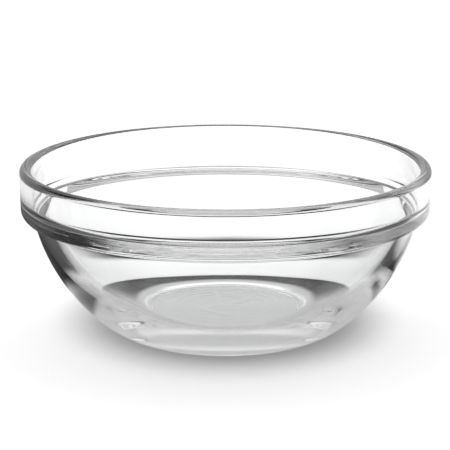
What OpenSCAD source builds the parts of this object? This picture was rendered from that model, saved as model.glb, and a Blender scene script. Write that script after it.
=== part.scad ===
// Clear glass prep bowl that stacks inside others of its kind.
// It is one pressed piece of glass, so it is one node: a section turned about the Z axis.
// Millimetres, +Z up, origin on the axis at the plane that the foot rests on.
// The section is made of true arcs and straight lines that run into each other without a kink.
// A point of the section is [distance from the axis, height].

/* [Bowl] */
// Diameter over the collar, just under the rim, where the bowl is widest
bowl_d = 120; // [110:1:132]
// Height from the resting plane to the top of the rim
bowl_h = 50; // [44:1:58]

/* [Rim and collar] */
// Thickness of the glass at the rim, which is round over its full width
rim_t = 3.6; // [3:0.1:4.2]
// Depth of the collar, from the top of the rim to its underside
collar_h = 14.9; // [13.5:0.1:16.5]
// Slope of the collar's outside, in degrees from upright, narrower below
collar_draft = 2; // [0:0.5:3]
// Radius of the collar's lower edge
collar_edge_r = 2.7; // [1.8:0.1:3]
// How far the wall steps in under the collar, on the radius
neck_inset = 4; // [3.6:0.1:4.8]
// Radius of the hollow fillet where the collar meets the wall
neck_fillet_r = 1; // [0.6:0.1:1.2]

/* [Wall] */
// Radius of the wide curve of the wall's outside
wall_r = 55; // [50:0.5:62]
// Radius of the tighter curve that brings the wall down to the foot
heel_r = 29; // [24:0.5:34]
// Thickness of the wall under the collar
wall_t = 3.8; // [3.2:0.1:4.4]

/* [Foot and base] */
// Outer diameter of the flat ring that the bowl rests on
foot_d = 56; // [52:1:62]
// Slope of the heel where it meets the foot, in degrees from level
foot_angle = 18.2; // [15:0.2:21]
// Diameter of the shallow recess under the base
recess_d = 47; // [40:0.5:50]
// Depth of the recess under the base
recess_depth = 0.6; // [0.3:0.1:1]
// Thickness of the base on the axis, down to the resting plane
base_t = 4.4; // [3.6:0.1:5.4]

/* [Inside] */
// Slope of the inside above the ledge, in degrees from upright, narrower below
inside_draft = 1; // [0:0.5:2]
// Depth below the rim at which the inside starts to turn in to the ledge
ledge_depth = 8.6; // [7.6:0.1:9.4]
// Radius of the hollow corner at the top of the ledge
ledge_corner_r = 4; // [3:0.1:4.4]
// Radius of the rounded nose at the bottom of the ledge
ledge_nose_r = 3; // [2:0.1:4]
// Radius of the wide curve of the wall's inside
hollow_r = 45; // [40:0.5:50]
// Radius of the curve from the floor up into the wall
floor_edge_r = 20; // [16:0.5:24]
// Diameter of the flat floor inside
floor_d = 40; // [34:1:44]

/* [Hidden] */
$fn = 240;

bowl_r = bowl_d / 2;
collar_z = bowl_h - collar_h;

// Rim: a half circle on top of the glass
rim_r = rim_t / 2;
rim_c = [bowl_r - rim_r, bowl_h - rim_r];
mouth = [bowl_r - rim_t, rim_c.y];

// Collar: its outside is the line that touches both the rim's circle and the lower edge's circle
collar_out = [cos(collar_draft), -sin(collar_draft)];
edge_z = collar_z + collar_edge_r;
edge_fall = (rim_c.y - edge_z) * sin(collar_draft);
edge_c = [rim_c.x + (rim_r - collar_edge_r - edge_fall) / cos(collar_draft), edge_z];

// Wall: one wide arc through the neck, which runs into the heel's arc
neck = [bowl_r - neck_inset, collar_z];
heel_c = [foot_d / 2 - heel_r * sin(foot_angle), heel_r * cos(foot_angle)];
wall_c = meeting(neck, wall_r, heel_c, wall_r - heel_r)[1];
heel_end = toward(wall_c, heel_c, wall_r);

// Neck: the fillet touches the collar's underside and the wall
fillet_z = collar_z - neck_fillet_r;
fillet_reach = sqrt(pow(wall_r + neck_fillet_r, 2) - pow(fillet_z - wall_c.y, 2));
fillet_c = [wall_c.x + fillet_reach, fillet_z];
wall_end = toward(wall_c, fillet_c, wall_r);

// Hollow: a second pair of arcs, one wall thickness in at the neck, which runs into the flat floor
inner_neck = toward(neck, wall_c, wall_t);
floor_c = [floor_d / 2, base_t + floor_edge_r];
hollow_c = meeting(inner_neck, hollow_r, floor_c, hollow_r - floor_edge_r)[1];
floor_end = toward(hollow_c, floor_c, hollow_r);

// Ledge: a hollow corner under the upright inside, then a nose that touches it and the hollow's arc
inside_out = [cos(inside_draft), -sin(inside_draft)];
ledge_z = bowl_h - ledge_depth;
ledge_top = [mouth.x - (mouth.y - ledge_z) * tan(inside_draft), ledge_z];
corner_c = ledge_top - ledge_corner_r * inside_out;
nose_c = meeting(corner_c, ledge_corner_r + ledge_nose_r, hollow_c, hollow_r + ledge_nose_r)[0];
corner_end = toward(corner_c, nose_c, ledge_corner_r);
nose_end = toward(hollow_c, nose_c, hollow_r);

// The point at a distance from one point in the direction of another
function toward(from, to, distance) = from + distance * (to - from) / norm(to - from);

// The two points where two circles meet, the lower one first
function meeting(c1, r1, c2, r2) =
    let (
        span = norm(c2 - c1),
        along = (r1 * r1 - r2 * r2 + span * span) / (2 * span),
        aside = sqrt(r1 * r1 - along * along),
        direction = (c2 - c1) / span,
        middle = c1 + along * direction,
        across = aside * [direction.y, -direction.x]
    )
    across.y < 0 ? [middle + across, middle - across] : [middle - across, middle + across];

// A disc of the section
module disc(centre, radius) {
    translate(centre) circle(radius);
}

// Fills the section from the axis out to an arc that climbs from a low point to a high one
module arc_band(centre, radius, low, high) {
    polygon([[0, low.y], low, high, [0, high.y]]);
    intersection() {
        disc(centre, radius);
        polygon([[0, low.y], [bowl_r, low.y], [bowl_r, high.y], [0, high.y]]);
    }
}

// Rim and collar, filled to the axis
module collar_section() {
    disc(rim_c, rim_r);
    disc(edge_c, collar_edge_r);
    polygon([
        [0, collar_z],
        [edge_c.x, collar_z],
        edge_c + collar_edge_r * collar_out,
        rim_c + rim_r * collar_out,
        mouth,
        [0, mouth.y]
    ]);
}

// Neck fillet, wall and heel, filled to the axis
module wall_section() {
    difference() {
        polygon([[0, wall_end.y], wall_end, fillet_c, [fillet_c.x, collar_z], [0, collar_z]]);
        disc(fillet_c, neck_fillet_r);
    }
    arc_band(wall_c, wall_r, heel_end, wall_end);
    arc_band(heel_c, heel_r, [foot_d / 2, 0], heel_end);
}

// The space inside the bowl, from the mouth down over the ledge to the floor
module hollow_section() {
    polygon([[0, corner_c.y], corner_c, ledge_top, mouth, [0, mouth.y]]);
    disc(corner_c, ledge_corner_r);
    difference() {
        polygon([[0, nose_end.y], nose_end, nose_c, corner_end, corner_c, [0, corner_c.y]]);
        disc(nose_c, ledge_nose_r);
    }
    arc_band(hollow_c, hollow_r, floor_end, nose_end);
    arc_band(floor_c, floor_edge_r, [floor_d / 2, base_t], floor_end);
}

// The shallow recess that leaves a flat ring to rest on, with a sloped step round it
module recess_section() {
    polygon([
        [0, 0],
        [recess_d / 2, 0],
        [recess_d / 2 - recess_depth, recess_depth],
        [0, recess_depth]
    ]);
}

module bowl() {
    color([0.86, 0.9, 0.9, 0.45])
        rotate_extrude()
            difference() {
                union() {
                    collar_section();
                    wall_section();
                }
                hollow_section();
                recess_section();
            }
}

bowl();
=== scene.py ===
"""Clear pressed glass prep bowl on a pale studio table.

The bowl is one piece of glass, so the scene has one piece: a turned mesh with the same section as
the CAD solid, plus the small marks that pressing leaves in real glass. Sizes are millimetres in the
dataclasses and metres in Blender.
"""

import logging
import math
from dataclasses import dataclass, field
from enum import Enum
from typing import Union

import bpy
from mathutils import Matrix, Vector, noise

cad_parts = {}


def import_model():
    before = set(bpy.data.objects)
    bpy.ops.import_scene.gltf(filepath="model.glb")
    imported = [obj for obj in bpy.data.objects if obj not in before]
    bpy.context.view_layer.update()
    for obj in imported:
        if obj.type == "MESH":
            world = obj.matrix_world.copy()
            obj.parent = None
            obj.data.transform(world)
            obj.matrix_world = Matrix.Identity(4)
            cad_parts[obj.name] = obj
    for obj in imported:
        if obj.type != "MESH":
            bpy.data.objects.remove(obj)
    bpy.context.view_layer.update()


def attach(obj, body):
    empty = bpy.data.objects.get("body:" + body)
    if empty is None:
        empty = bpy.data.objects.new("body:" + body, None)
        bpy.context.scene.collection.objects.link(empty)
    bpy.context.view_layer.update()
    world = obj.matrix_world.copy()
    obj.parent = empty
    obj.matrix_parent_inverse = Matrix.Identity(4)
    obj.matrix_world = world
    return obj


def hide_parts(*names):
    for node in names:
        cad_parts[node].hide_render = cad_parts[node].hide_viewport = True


MM = 0.001
PICTURE_PX = 450
WHITE = (1.0, 1.0, 1.0, 1.0)
LOG = logging.getLogger("prep_bowl")

Point = tuple[float, float]
Socket = bpy.types.NodeSocket
Value = Union[float, Socket]


class Side(Enum):
    """Which of the two points is meant where two circles meet."""

    LOWER = -1
    UPPER = 1


def toward(start: Point, end: Point, distance: float) -> Point:
    """Steps from one point towards another.

    Args:
        start: The point to start from.
        end: The point that gives the direction.
        distance: How far to step.

    Returns:
        The point reached.
    """
    span = math.hypot(end[0] - start[0], end[1] - start[1])
    share = distance / span
    return start[0] + (end[0] - start[0]) * share, start[1] + (end[1] - start[1]) * share


def meeting(c1: Point, r1: float, c2: Point, r2: float, side: Side) -> Point:
    """Finds where two circles meet.

    Args:
        c1: Centre of the first circle.
        r1: Its radius.
        c2: Centre of the second circle.
        r2: Its radius.
        side: Which of the two points is wanted.

    Returns:
        The lower or the upper meeting point.
    """
    dx, dy = c2[0] - c1[0], c2[1] - c1[1]
    span = math.hypot(dx, dy)
    along = (r1 * r1 - r2 * r2 + span * span) / (2 * span)
    aside = math.sqrt(r1 * r1 - along * along)
    middle = (c1[0] + along * dx / span, c1[1] + along * dy / span)
    across = (aside * dy / span, -aside * dx / span)
    if (across[1] > 0) != (side is Side.UPPER):
        across = (-across[0], -across[1])
    return middle[0] + across[0], middle[1] + across[1]


def bearing(centre: Point, point: Point) -> float:
    """Angle at which a point lies round a centre."""
    return math.atan2(point[1] - centre[1], point[0] - centre[0])


@dataclass(frozen=True)
class Fade:
    """A change that starts at one value and is complete at another."""

    start: float
    end: float

    def share(self, value: float) -> float:
        """How much of the change a value has gone through, from 0 to 1."""
        return max(0.0, min(1.0, (value - self.start) / (self.end - self.start)))


@dataclass(frozen=True)
class Arc:
    """A stretch of the section that follows a circle."""

    centre: Point
    radius: float
    start: float
    end: float

    def points(self, step: float, turn: float) -> list[Point]:
        """Samples the arc from its start to its end.

        Args:
            step: Longest distance between two points.
            turn: Largest change of direction between two points, in radians.

        Returns:
            The points, both ends included.
        """
        sweep = abs(self.end - self.start)
        count = max(2, math.ceil(sweep * self.radius / step), math.ceil(sweep / turn))
        angles = (self.start + (self.end - self.start) * i / count for i in range(count + 1))
        return [
            (
                self.centre[0] + self.radius * math.cos(angle),
                self.centre[1] + self.radius * math.sin(angle),
            )
            for angle in angles
        ]


@dataclass(frozen=True)
class BowlSection:
    """Sizes of the bowl's section in millimetres, as in the part's source."""

    bowl_d: float = 120.0
    bowl_h: float = 50.0
    rim_t: float = 3.6
    collar_h: float = 14.9
    collar_draft: float = 2.0
    collar_edge_r: float = 2.7
    neck_inset: float = 4.0
    neck_fillet_r: float = 1.0
    wall_r: float = 55.0
    heel_r: float = 29.0
    wall_t: float = 3.8
    foot_d: float = 56.0
    foot_angle: float = 18.2
    recess_d: float = 47.0
    recess_depth: float = 0.6
    base_t: float = 4.4
    inside_draft: float = 1.0
    ledge_depth: float = 8.6
    ledge_corner_r: float = 4.0
    ledge_nose_r: float = 3.0
    hollow_r: float = 45.0
    floor_edge_r: float = 20.0
    floor_d: float = 40.0

    def outside(self) -> list[Arc]:
        """The arcs of the outside, from the foot up to the mouth."""
        bowl_r = self.bowl_d / 2
        rim_r = self.rim_t / 2
        rim_c = (bowl_r - rim_r, self.bowl_h - rim_r)
        collar_z = self.bowl_h - self.collar_h
        draft = math.radians(self.collar_draft)
        edge_z = collar_z + self.collar_edge_r
        edge_fall = (rim_c[1] - edge_z) * math.sin(draft)
        edge_x = rim_c[0] + (rim_r - self.collar_edge_r - edge_fall) / math.cos(draft)
        edge_c = (edge_x, edge_z)
        heel_c, wall_c = self.heel_centre(), self.wall_centre()
        fillet_z = collar_z - self.neck_fillet_r
        reach = math.sqrt((self.wall_r + self.neck_fillet_r) ** 2 - (fillet_z - wall_c[1]) ** 2)
        fillet_c = (wall_c[0] + reach, fillet_z)
        heel_end = bearing(wall_c, heel_c)
        wall_end = bearing(wall_c, fillet_c)
        foot = math.radians(self.foot_angle) - math.pi / 2
        return [
            Arc(heel_c, self.heel_r, foot, heel_end),
            Arc(wall_c, self.wall_r, heel_end, wall_end),
            Arc(fillet_c, self.neck_fillet_r, wall_end + math.pi, math.pi / 2),
            Arc(edge_c, self.collar_edge_r, -math.pi / 2, -draft),
            Arc(rim_c, rim_r, -draft, math.pi),
        ]

    def inside(self) -> list[Arc]:
        """The arcs of the inside, from the mouth down to the floor."""
        bowl_r = self.bowl_d / 2
        draft = math.radians(self.inside_draft)
        mouth_z = self.bowl_h - self.rim_t / 2
        ledge_z = self.bowl_h - self.ledge_depth
        ledge_x = bowl_r - self.rim_t - (mouth_z - ledge_z) * math.tan(draft)
        corner_c = (
            ledge_x - self.ledge_corner_r * math.cos(draft),
            ledge_z + self.ledge_corner_r * math.sin(draft),
        )
        floor_c = (self.floor_d / 2, self.base_t + self.floor_edge_r)
        hollow_c = self.hollow_centre()
        nose_c = meeting(
            corner_c,
            self.ledge_corner_r + self.ledge_nose_r,
            hollow_c,
            self.hollow_r + self.ledge_nose_r,
            Side.LOWER,
        )
        corner_end = bearing(corner_c, nose_c)
        nose_end = bearing(hollow_c, nose_c)
        floor_start = bearing(hollow_c, floor_c)
        return [
            Arc(corner_c, self.ledge_corner_r, -draft, corner_end),
            Arc(nose_c, self.ledge_nose_r, corner_end + math.pi, nose_end + math.pi),
            Arc(hollow_c, self.hollow_r, nose_end, floor_start),
            Arc(floor_c, self.floor_edge_r, floor_start, -math.pi / 2),
        ]

    def heel_centre(self) -> Point:
        """Centre of the curve that brings the wall down to the foot."""
        lean = math.radians(self.foot_angle)
        return self.foot_d / 2 - self.heel_r * math.sin(lean), self.heel_r * math.cos(lean)

    def wall_centre(self) -> Point:
        """Centre of the wide curve of the wall's outside."""
        inner_r = self.wall_r - self.heel_r
        return meeting(self.neck(), self.wall_r, self.heel_centre(), inner_r, Side.UPPER)

    def hollow_centre(self) -> Point:
        """Centre of the wide curve of the wall's inside."""
        floor_c = (self.floor_d / 2, self.base_t + self.floor_edge_r)
        inner_neck = toward(self.neck(), self.wall_centre(), self.wall_t)
        inner_r = self.hollow_r - self.floor_edge_r
        return meeting(inner_neck, self.hollow_r, floor_c, inner_r, Side.UPPER)

    def neck(self) -> Point:
        """The point under the collar where the wall starts."""
        return self.bowl_d / 2 - self.neck_inset, self.bowl_h - self.collar_h


@dataclass
class Bowl:
    """The whole bowl: one pressing of clear glass.

    The waves, rings and S mark are what pressing leaves in real glass. Sizes are millimetres.
    """

    section: BowlSection = field(default_factory=BowlSection)
    steps: int = 320
    step: float = 0.7
    turn: float = math.radians(3.5)
    floor_step: float = 0.5
    closest: float = 1e-4
    level_slack: float = 1e-6
    wave_depth: float = 0.012
    wave_length: float = 11.0
    wave_squeeze: float = 1.4
    ring_height: float = 0.05
    ring_pitch: float = 3.1
    ring_begins: Fade = Fade(9.0, 14.0)
    ring_ends: Fade = Fade(20.0, 17.0)
    swirl_height: float = 0.11
    swirl_across: float = 6.0
    swirl_deep: float = 11.0
    swirl_width: float = 1.5
    swirl_half_steps: int = 30

    def outline(self) -> list[Point]:
        """The section's points, from the axis under the base round to the axis on the floor."""
        sizes = self.section
        step_x = sizes.recess_d / 2 - sizes.recess_depth
        points = self.radial(0.0, step_x, sizes.recess_depth)
        points.append((sizes.recess_d / 2, 0.0))
        for arc in sizes.outside() + sizes.inside():
            points += arc.points(self.step, self.turn)
        points += self.radial(sizes.floor_d / 2, 0.0, sizes.base_t)
        kept = points[:1]
        for point in points[1:]:
            if math.dist(point, kept[-1]) > self.closest:
                kept.append(point)
        return kept

    def radial(self, start: float, end: float, height: float) -> list[Point]:
        """Evenly spaced points along a level line of the section.

        Args:
            start: Distance from the axis at the first point.
            end: Distance from the axis at the last point.
            height: Height of the line.

        Returns:
            The points, both ends included.
        """
        count = math.ceil(abs(end - start) / self.floor_step)
        return [(start + (end - start) * i / count, height) for i in range(count + 1)]

    def swirl(self, x: float, y: float) -> float:
        """Finds the height of the soft S mark that the cut gob of glass leaves on the floor.

        Args:
            x: Place on the floor.
            y: Place on the floor.

        Returns:
            The height.
        """
        off = math.inf
        for i in range(2 * self.swirl_half_steps + 1):
            along = i / self.swirl_half_steps - 1
            mark_x = self.swirl_across * math.sin(math.pi * along)
            off = min(off, math.hypot(x - mark_x, y - self.swirl_deep * along))
        return self.swirl_height * math.exp(-((off / self.swirl_width) ** 2))

    def marks(self, x: float, y: float) -> float:
        """Finds the height of all pressing marks on the floor inside.

        Args:
            x: Place on the floor.
            y: Place on the floor.

        Returns:
            The height to add.
        """
        r = math.hypot(x, y)
        rings = 0.5 + 0.5 * math.cos(2 * math.pi * r / self.ring_pitch)
        fade = self.ring_begins.share(r) * self.ring_ends.share(r)
        return self.ring_height * rings * fade + self.swirl(x, y)

    def wave(self, x: float, y: float, z: float) -> float:
        """How far the waves of the glass lie inside the plain section at a place."""
        place = Vector((x, y, z * self.wave_squeeze)) / self.wave_length
        return self.wave_depth * (0.5 + 0.5 * noise.noise(place))

    def outward(self, points: list[Point], i: int) -> Point:
        """Direction that the section faces at one of its points.

        Args:
            points: The section's points.
            i: Which of them.

        Returns:
            The direction, of length 1.
        """
        before, after = points[max(0, i - 1)], points[min(len(points) - 1, i + 1)]
        run = (after[0] - before[0], after[1] - before[1])
        length = math.hypot(*run) or 1.0
        return run[1] / length, -run[0] / length

    def is_floor(self, points: list[Point], i: int) -> bool:
        """Whether a point of the section lies on the flat floor inside."""
        return i > len(points) // 2 and points[i][1] < self.section.base_t + self.level_slack

    def faces(self, rows: list[list[int]]) -> list[list[int]]:
        """Joins the rows of points round the bowl into faces.

        Args:
            rows: The numbers of each row's points.

        Returns:
            Four corners for each face, or three at the axis.
        """
        faces = []
        for low, high in zip(rows, rows[1:]):
            for k in range(self.steps):
                n = (k + 1) % self.steps
                face = list(dict.fromkeys((low[k], low[n], high[n], high[k])))
                if len(face) > 2:
                    faces.append(face)
        return faces

    def build(self) -> bpy.types.Object:
        """Turns the section about the Z axis.

        Returns:
            The bowl's object, in metres.
        """
        points = self.outline()
        verts: list[tuple[float, float, float]] = []
        rows: list[list[int]] = []
        for i, (r, z) in enumerate(points):
            floor = self.is_floor(points, i)
            if r < self.level_slack:
                rise = self.marks(0.0, 0.0) if floor else 0.0
                rows.append([len(verts)] * self.steps)
                verts.append((0.0, 0.0, (z + rise) * MM))
                continue
            face_r, face_z = self.outward(points, i)
            flat = floor or z < self.level_slack
            row = []
            for k in range(self.steps):
                angle = 2 * math.pi * k / self.steps
                c, s = math.cos(angle), math.sin(angle)
                depth = 0.0 if flat else self.wave(r * c, r * s, z)
                wave_r, wave_z = r - face_r * depth, z - face_z * depth
                rise = self.marks(wave_r * c, wave_r * s) if floor else 0.0
                row.append(len(verts))
                verts.append((wave_r * c * MM, wave_r * s * MM, (wave_z + rise) * MM))
            rows.append(row)
        mesh = bpy.data.meshes.new("bowl_glass")
        mesh.from_pydata(verts, [], self.faces(rows))
        mesh.update()
        mesh.shade_smooth()
        bowl = bpy.data.objects.new("bowl_glass", mesh)
        bpy.context.scene.collection.objects.link(bowl)
        return bowl

    def dress(self, bowl: bpy.types.Object, finish: "ClearGlass") -> None:
        """Gives the bowl its finish and its place in the frame.

        Args:
            bowl: The bowl's object.
            finish: The glass to put on it.
        """
        bowl.data.materials.append(finish.material())
        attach(bowl, "root")
        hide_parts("bowl")


@dataclass(frozen=True)
class ClearGlass:
    """Clear, colourless, fire polished glass with a faint ripple."""

    colour: tuple[float, float, float] = (0.99, 0.995, 0.993)
    ior: float = 1.52
    polish: float = 0.0
    ripple: float = 0.006
    ripple_scale: float = 90.0
    ripple_detail: float = 1.0
    ripple_depth: float = 0.001

    def material(self) -> bpy.types.Material:
        """Builds the node material."""
        material = bpy.data.materials.new("clear_glass")
        material.use_nodes = True
        tree = material.node_tree
        shader = tree.nodes["Principled BSDF"]
        shader.inputs["Base Color"].default_value = (*self.colour, 1.0)
        shader.inputs["Transmission Weight"].default_value = 1.0
        shader.inputs["Roughness"].default_value = self.polish
        shader.inputs["IOR"].default_value = self.ior
        place = tree.nodes.new("ShaderNodeTexCoord")
        ripple = tree.nodes.new("ShaderNodeTexNoise")
        ripple.inputs["Scale"].default_value = self.ripple_scale
        ripple.inputs["Detail"].default_value = self.ripple_detail
        bump = tree.nodes.new("ShaderNodeBump")
        bump.inputs["Strength"].default_value = self.ripple
        bump.inputs["Distance"].default_value = self.ripple_depth
        tree.links.new(place.outputs["Object"], ripple.inputs["Vector"])
        tree.links.new(ripple.outputs["Fac"], bump.inputs["Height"])
        tree.links.new(bump.outputs["Normal"], shader.inputs["Normal"])
        return material


class NodeKit:
    """Short ways to add the nodes that the table and the studio need."""

    def __init__(self, tree: bpy.types.NodeTree) -> None:
        """Keeps the tree that the nodes go into."""
        self.tree = tree

    def node(self, kind: str) -> bpy.types.Node:
        """Adds a node of a kind."""
        return self.tree.nodes.new(kind)

    def rays(self) -> bpy.types.bpy_prop_collection:
        """The outputs that tell which way a ray has come."""
        return self.node("ShaderNodeLightPath").outputs

    def feed(self, socket: Socket, value: Value) -> None:
        """Links a socket into an input, or sets the input to a number."""
        if isinstance(value, (int, float)):
            socket.default_value = value
        else:
            self.tree.links.new(value, socket)

    def math(self, operation: str, *values: Value) -> Socket:
        """Adds a Math node.

        Args:
            operation: The name of its operation.
            values: Numbers or sockets for its inputs.

        Returns:
            Its output.
        """
        node = self.node("ShaderNodeMath")
        node.operation = operation
        for socket, value in zip(node.inputs, values):
            self.feed(socket, value)
        return node.outputs[0]

    def plus(self, first: Value, second: Value) -> Socket:
        """Adds two numbers."""
        return self.math("ADD", first, second)

    def minus(self, first: Value, second: Value) -> Socket:
        """Takes the second number from the first."""
        return self.math("SUBTRACT", first, second)

    def times(self, first: Value, second: Value) -> Socket:
        """Multiplies two numbers."""
        return self.math("MULTIPLY", first, second)

    def over(self, first: Value, second: Value) -> Socket:
        """Divides the first number by the second."""
        return self.math("DIVIDE", first, second)

    def length(self, x: Value, y: Value) -> Socket:
        """Length of a flat step with the given two parts."""
        return self.math("SQRT", self.plus(self.times(x, x), self.times(y, y)))

    def bell(self, value: Value, middle: float, width: float) -> Socket:
        """Goes up to 1 at one value and down again on both sides of it."""
        off = self.over(self.minus(value, middle), width)
        return self.math("EXPONENT", self.times(self.times(off, off), -1.0))

    def split(self, vector: Socket) -> tuple[Socket, Socket, Socket]:
        """Splits a vector into its three numbers."""
        node = self.node("ShaderNodeSeparateXYZ")
        self.tree.links.new(vector, node.inputs[0])
        return tuple(node.outputs)

    def ease(self, value: Value, fade: Fade) -> Socket:
        """Goes smoothly from 0 at a fade's start to 1 at its end."""
        node = self.node("ShaderNodeMapRange")
        node.interpolation_type = "SMOOTHSTEP"
        self.feed(node.inputs["Value"], value)
        node.inputs["From Min"].default_value = fade.start
        node.inputs["From Max"].default_value = fade.end
        return node.outputs[0]

    def mix(self, share: Value, first: Value, second: Value) -> Socket:
        """Blends two numbers, from the first at share 0 to the second at share 1."""
        node = self.node("ShaderNodeMix")
        self.feed(node.inputs[0], share)
        self.feed(node.inputs[2], first)
        self.feed(node.inputs[3], second)
        return node.outputs[0]


@dataclass(frozen=True)
class Place:
    """Where a ray meets the table: right, away from the camera, and out from the bowl's axis."""

    x: Socket
    y: Socket
    r: Socket

    def rightward(self, kit: NodeKit) -> Socket:
        """How far a place lies to the right as seen from the axis, from -1 to 1."""
        return kit.over(self.x, kit.math("MAXIMUM", self.r, MM))

    def backward(self, kit: NodeKit) -> Socket:
        """How far a place lies behind as seen from the axis, from -1 to 1."""
        return kit.over(self.y, kit.math("MAXIMUM", self.r, MM))

    def along(self, kit: NodeKit, turn: float) -> Socket:
        """How far a place lies towards a direction as seen from the axis, from -1 to 1.

        Args:
            kit: Adds the nodes.
            turn: The direction, in radians round the axis.

        Returns:
            The share.
        """
        step = kit.plus(kit.times(self.x, math.cos(turn)), kit.times(self.y, math.sin(turn)))
        return kit.over(step, kit.math("MAXIMUM", self.r, MM))


@dataclass(frozen=True)
class Table:
    """The pale table that the bowl stands on.

    The camera sees it plain, with one painted soft shadow. Through the glass, and in the glass's
    inner reflections, the table has painted lighter and darker zones round the bowl: painted shade,
    painted highlights and painted reflections. They stand in for the bowl's own shadow, for the
    light that its foot gathers and for a dark room round the table.
    Lengths are in metres. A fade named _edge runs outward from the bowl's axis, and one named
    _behind, _ahead, _right or _along runs round it, in shares from -1 to 1. A ray that crosses
    glass more than both_walls times has come through two walls of the bowl, and one with more
    reflections than the field of that name has been reflected.
    """

    radius: float = 0.42
    edges: int = 128
    gap: float = 0.0002
    glow: float = 0.52
    camera_glow: float = 0.58
    # through: painted extra brightness of the table where the glass only bends the view
    through: float = 1.12
    both_walls: float = 3.0
    reflections: float = 0.5
    # painted soft shadow that the camera sees round the bowl
    shadow: float = 0.24
    shadow_y: float = 0.015
    shadow_wide: float = 0.046
    shadow_deep: float = 0.06
    shadow_edge: Fade = Fade(0.6, 1.2)
    # painted grey shade under the foot, with a painted glint circle on it
    painted_pool: float = 0.65
    painted_pool_y: float = 0.00795
    painted_pool_edge: Fade = Fade(0.02693, 0.03066)
    glint: float = 0.81
    glint_r: float = 0.02302
    glint_width: float = 0.00167
    glint_behind: Fade = Fade(0.534, 0.834)
    # painted dark shadow outline round the grey shade: darkest behind, lighter ahead and where the
    # view crosses fewer walls
    painted_shadow_ring_ahead: float = 0.5
    painted_shadow_ring_behind: float = 0.0
    painted_shadow_ring_above: float = 0.5
    painted_shadow_ring_turn_behind: Fade = Fade(-0.1, 0.4)
    painted_shadow_ring_edge: Fade = Fade(0.04298, 0.04448)
    # painted dark shade: a broad stripe behind the bowl, further out
    painted_shade_band: float = 0.03
    painted_shade_band_inner_edge: Fade = Fade(0.06527, 0.07323)
    painted_shade_band_outer_edge: Fade = Fade(0.09939, 0.10735)
    painted_shade_band_behind: Fade = Fade(0.597, 0.896)
    # painted dark shade beside the bowl, further out
    painted_shade_wing: float = 0.75
    painted_shade_wing_edge: Fade = Fade(0.0787, 0.0987)
    painted_shade_wing_behind: Fade = Fade(0.425, 0.725)
    # painted reflections: levels of the table in the glass's inner reflections, with a painted
    # bright circle, a painted highlight arc, painted dark shade further out and a painted highlight
    # spot
    near: float = 0.63
    middle: float = 1.12
    middle_right: float = 1.0
    middle_r: float = 0.05967
    middle_width: float = 0.006
    middle_turn_right: Fade = Fade(0.3, 0.8)
    painted_highlight_arc: float = 0.32
    painted_highlight_arc_r: float = 0.0258
    painted_highlight_arc_width: float = 0.0018
    painted_highlight_arc_ahead: Fade = Fade(-0.2, -0.5)
    painted_outer_shade: float = 0.105
    painted_outer_shade_edge: Fade = Fade(0.05632, 0.06827)
    horizon: float = 0.85
    horizon_edge: Fade = Fade(0.175, 0.215)
    painted_highlight_spot: float = 1.2
    painted_highlight_spot_turn: float = 57.2
    painted_highlight_spot_along: Fade = Fade(0.762, 0.98)
    painted_highlight_spot_edge: Fade = Fade(0.0717, 0.0817)

    def build(self) -> bpy.types.Object:
        """Lays the table top just under the foot."""
        mesh = bpy.data.meshes.new("table_top")
        turns = [2 * math.pi * i / self.edges for i in range(self.edges)]
        corners = [(self.radius * math.cos(a), self.radius * math.sin(a), -self.gap) for a in turns]
        mesh.from_pydata(corners, [], [list(range(self.edges))])
        mesh.update()
        table = bpy.data.objects.new("table_top", mesh)
        bpy.context.scene.collection.objects.link(table)
        mesh.materials.append(self.material())
        return table

    def seen_directly(self, kit: NodeKit, place: Place) -> Socket:
        """Brightness of the table as the camera sees it beside the bowl, with a painted soft
        shadow.

        Args:
            kit: Adds the nodes.
            place: Place on the table.

        Returns:
            The brightness.
        """
        # painted soft shadow, darkest close to the bowl and fading outward
        wide = kit.over(place.x, self.shadow_wide)
        deep = kit.over(kit.minus(place.y, self.shadow_y), self.shadow_deep)
        return kit.mix(kit.ease(kit.length(wide, deep), self.shadow_edge), self.shadow, 1.0)

    def seen_straight(self, kit: NodeKit, place: Place) -> Socket:
        """Brightness of the table where the glass only bends the view: painted grey shade under the
        foot with a painted glint, a painted dark shadow outline round it, and painted dark shade
        behind and beside the bowl further out.

        Args:
            kit: Adds the nodes.
            place: Place on the table.

        Returns:
            The brightness.
        """
        behind = place.backward(kit)
        off = kit.length(place.x, kit.minus(place.y, self.painted_pool_y))
        # painted glint: a thin bright circle on the painted grey shade
        glint = kit.bell(off, self.glint_r, self.glint_width)
        glint = kit.times(glint, kit.ease(behind, self.glint_behind))
        painted_pool = kit.plus(self.painted_pool, kit.times(glint, self.glint))
        # painted dark shadow outline round the painted grey shade
        painted_shadow_ring_turn = kit.ease(behind, self.painted_shadow_ring_turn_behind)
        painted_shadow_ring = kit.mix(painted_shadow_ring_turn, self.painted_shadow_ring_ahead, self.painted_shadow_ring_behind)
        crossings = kit.rays()["Transmission Depth"]
        through_both = kit.math("GREATER_THAN", crossings, self.both_walls)
        painted_shadow_ring = kit.mix(through_both, self.painted_shadow_ring_above, painted_shadow_ring)
        level = kit.mix(kit.ease(off, self.painted_pool_edge), painted_pool, painted_shadow_ring)
        level = kit.mix(kit.ease(place.r, self.painted_shadow_ring_edge), level, 1.0)
        # painted dark shade: a broad stripe behind the bowl
        starts = kit.ease(place.r, self.painted_shade_band_inner_edge)
        stays = kit.minus(1.0, kit.ease(place.r, self.painted_shade_band_outer_edge))
        painted_shade_band = kit.times(kit.times(starts, stays), kit.ease(behind, self.painted_shade_band_behind))
        level = kit.mix(painted_shade_band, level, self.painted_shade_band)
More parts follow.
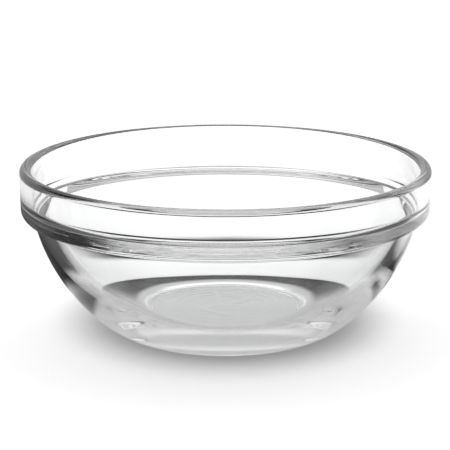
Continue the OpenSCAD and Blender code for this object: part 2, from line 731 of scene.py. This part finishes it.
        # painted dark shade beside the bowl
        beside = kit.minus(1.0, kit.ease(behind, self.painted_shade_wing_behind))
        painted_shade_wings = kit.times(beside, kit.ease(place.r, self.painted_shade_wing_edge))
        return kit.times(kit.mix(painted_shade_wings, level, self.painted_shade_wing), self.through)

    def seen_reflected(self, kit: NodeKit, place: Place) -> Socket:
        """Brightness of the table where the glass also reflects the view, as painted reflections:
        grey near the foot, a painted bright circle, a painted highlight arc ahead, painted dark
        shade further out, a paler horizon and a painted highlight spot.

        Args:
            kit: Adds the nodes.
            place: Place on the table.

        Returns:
            The brightness.
        """
        # painted bright circle in the reflections, a little less bright to the right
        bell = kit.bell(place.r, self.middle_r, self.middle_width)
        right = kit.ease(place.rightward(kit), self.middle_turn_right)
        level = kit.mix(bell, self.near, kit.mix(right, self.middle, self.middle_right))
        # painted highlight arc ahead of the foot
        ahead = kit.ease(place.backward(kit), self.painted_highlight_arc_ahead)
        bell = kit.bell(place.r, self.painted_highlight_arc_r, self.painted_highlight_arc_width)
        level = kit.plus(level, kit.times(kit.times(bell, ahead), self.painted_highlight_arc))
        # painted dark shade further out, then paler towards the horizon
        level = kit.mix(kit.ease(place.r, self.painted_outer_shade_edge), level, self.painted_outer_shade)
        level = kit.mix(kit.ease(place.r, self.horizon_edge), level, self.horizon)
        # painted highlight spot to the right and behind the bowl
        along = kit.ease(place.along(kit, math.radians(self.painted_highlight_spot_turn)), self.painted_highlight_spot_along)
        share = kit.times(along, kit.ease(place.r, self.painted_highlight_spot_edge))
        return kit.mix(share, level, self.painted_highlight_spot)

    def material(self) -> bpy.types.Material:
        """Builds the table's node material.

        It takes the render's own light and shadow, and glows as well where the camera or the
        glass sees it, so that the background is pale without more light on the bowl. Its glow and
        its colour both carry the painted shadow, shade, highlights and reflections.

        Returns:
            The material.
        """
        material = bpy.data.materials.new("pale_table_painted_shade")
        material.use_nodes = True
        tree = material.node_tree
        tree.nodes.clear()
        kit = NodeKit(tree)
        rays = kit.rays()
        x, y, _ = kit.split(kit.node("ShaderNodeTexCoord").outputs["Object"])
        place = Place(x, y, kit.length(x, y))
        reflects = kit.math("GREATER_THAN", rays["Glossy Depth"], self.reflections)
        straight, reflected = self.seen_straight(kit, place), self.seen_reflected(kit, place)
        shade = kit.mix(reflects, straight, reflected)
        shade = kit.mix(rays["Is Camera Ray"], shade, self.seen_directly(kit, place))
        glow = kit.mix(rays["Is Camera Ray"], self.glow, self.camera_glow)
        paint = kit.node("ShaderNodeEmission")
        kit.feed(paint.inputs["Strength"], kit.times(shade, glow))
        card = kit.node("ShaderNodeBsdfDiffuse")
        kit.feed(card.inputs["Color"], shade)
        both = kit.node("ShaderNodeAddShader")
        kit.feed(both.inputs[0], paint.outputs[0])
        kit.feed(both.inputs[1], card.outputs[0])
        seen = kit.math("MAXIMUM", rays["Is Camera Ray"], rays["Is Glossy Ray"])
        seen = kit.math("MAXIMUM", seen, rays["Is Transmission Ray"])
        choice = kit.node("ShaderNodeMixShader")
        kit.feed(choice.inputs[0], seen)
        kit.feed(choice.inputs[1], card.outputs[0])
        kit.feed(choice.inputs[2], both.outputs[0])
        out = kit.node("ShaderNodeOutputMaterial")
        kit.feed(out.inputs["Surface"], choice.outputs[0])
        return material


@dataclass(frozen=True)
class SoftBox:
    """A large soft light of the studio, as a round patch of the world.

    Turn and height are degrees round the bowl and up from level. The spread is in cosines of the
    angle from the light's middle: dark at its start and full at its end.
    """

    turn: float
    height: float
    spread: Fade
    level: float

    def share(self, kit: NodeKit, direction: Socket) -> Socket:
        """How much of a direction the light covers.

        Args:
            kit: Adds the nodes.
            direction: The direction looked in.

        Returns:
            The share, from 0 to 1.
        """
        turn, height = math.radians(self.turn), math.radians(self.height)
        flat = math.cos(height)
        dot = kit.node("ShaderNodeVectorMath")
        dot.operation = "DOT_PRODUCT"
        kit.feed(dot.inputs[0], direction)
        dot.inputs[1].default_value = (
            flat * math.cos(turn),
            flat * math.sin(turn),
            math.sin(height),
        )
        return kit.ease(dot.outputs["Value"], self.spread)


@dataclass(frozen=True)
class Studio:
    """A dark room with soft lights overhead, on the left and low behind the bowl."""

    overhead: SoftBox = SoftBox(turn=83.2, height=69.0, spread=Fade(0.68, 0.92), level=1.204)
    left: SoftBox = SoftBox(turn=232.8, height=10.6, spread=Fade(0.856, 0.991), level=0.974)
    upper_left: SoftBox = SoftBox(turn=216.9, height=24.3, spread=Fade(0.907, 0.992), level=0.928)
    behind: SoftBox = SoftBox(turn=107.5, height=0.0, spread=Fade(0.154, 0.402), level=0.565)
    behind_top: Fade = Fade(0.398, 0.498)
    bounces: int = 32
    glass_bounces: int = 24

    def light(self) -> None:
        """Builds the world, which is white where the camera sees it past the table."""
        world = bpy.data.worlds.new("studio")
        bpy.context.scene.world = world
        world.use_nodes = True
        kit = NodeKit(world.node_tree)
        sky = world.node_tree.nodes["Background"]
        direction = kit.node("ShaderNodeTexCoord").outputs["Generated"]
        _, _, up = kit.split(direction)
        below_top = kit.minus(1.0, kit.ease(up, self.behind_top))
        share = kit.times(self.behind.share(kit, direction), below_top)
        level = kit.mix(share, 0.0, self.behind.level)
        for box in (self.left, self.upper_left, self.overhead):
            level = kit.mix(box.share(kit, direction), level, box.level)
        kit.feed(sky.inputs["Strength"], kit.mix(kit.rays()["Is Camera Ray"], level, 1.0))
        sky.inputs["Color"].default_value = WHITE

    def paths(self) -> None:
        """Lets light cross the thick glass often enough that it doesn't turn black."""
        cycles = bpy.context.scene.cycles
        cycles.max_bounces = self.bounces
        cycles.glossy_bounces = self.glass_bounces
        cycles.transmission_bounces = self.glass_bounces


@dataclass(frozen=True)
class PhotoCamera:
    """The camera at the photograph's viewing angle.

    The elevation is in degrees, the distances in metres, the focal length and the shift in the
    picture's pixels, and the sensor's width in millimetres.
    """

    elevation: float = 13.42
    distance: float = 0.85
    focal_px: float = 2908.0
    aim_below_rim: float = 0.0182
    shift_px: float = -0.49
    sensor: float = 36.0

    def place(self, rim_height: float) -> bpy.types.Object:
        """Puts the camera in front of the bowl.

        Args:
            rim_height: Height of the rim in metres.

        Returns:
            The camera's object.
        """
        lens = bpy.data.cameras.new("photo_camera")
        camera = bpy.data.objects.new("photo_camera", lens)
        bpy.context.scene.collection.objects.link(camera)
        tilt = math.radians(self.elevation)
        aim = rim_height - self.aim_below_rim
        camera.location = (
            0.0,
            -self.distance * math.cos(tilt),
            aim + self.distance * math.sin(tilt),
        )
        camera.rotation_euler = (math.pi / 2 - tilt, 0.0, 0.0)
        lens.sensor_fit = "HORIZONTAL"
        lens.sensor_width = self.sensor
        lens.lens = self.sensor * self.focal_px / PICTURE_PX
        lens.shift_x = self.shift_px / PICTURE_PX
        bpy.context.scene.camera = camera
        return camera


def main() -> None:
    """Builds the studio and the bowl, and logs what was built."""
    logging.basicConfig(level=logging.INFO, format="%(name)s: %(message)s")
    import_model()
    bowl = Bowl()
    PhotoCamera().place(bowl.section.bowl_h * MM)
    studio = Studio()
    studio.light()
    studio.paths()
    Table().build()
    LOG.info("built the table and the studio")
    piece = bowl.build()
    bowl.dress(piece, ClearGlass())
    LOG.info("built %s with %d faces", piece.name, len(piece.data.polygons))
    bpy.context.scene.view_settings.view_transform = "Standard"


if __name__ == "__main__":
    main()
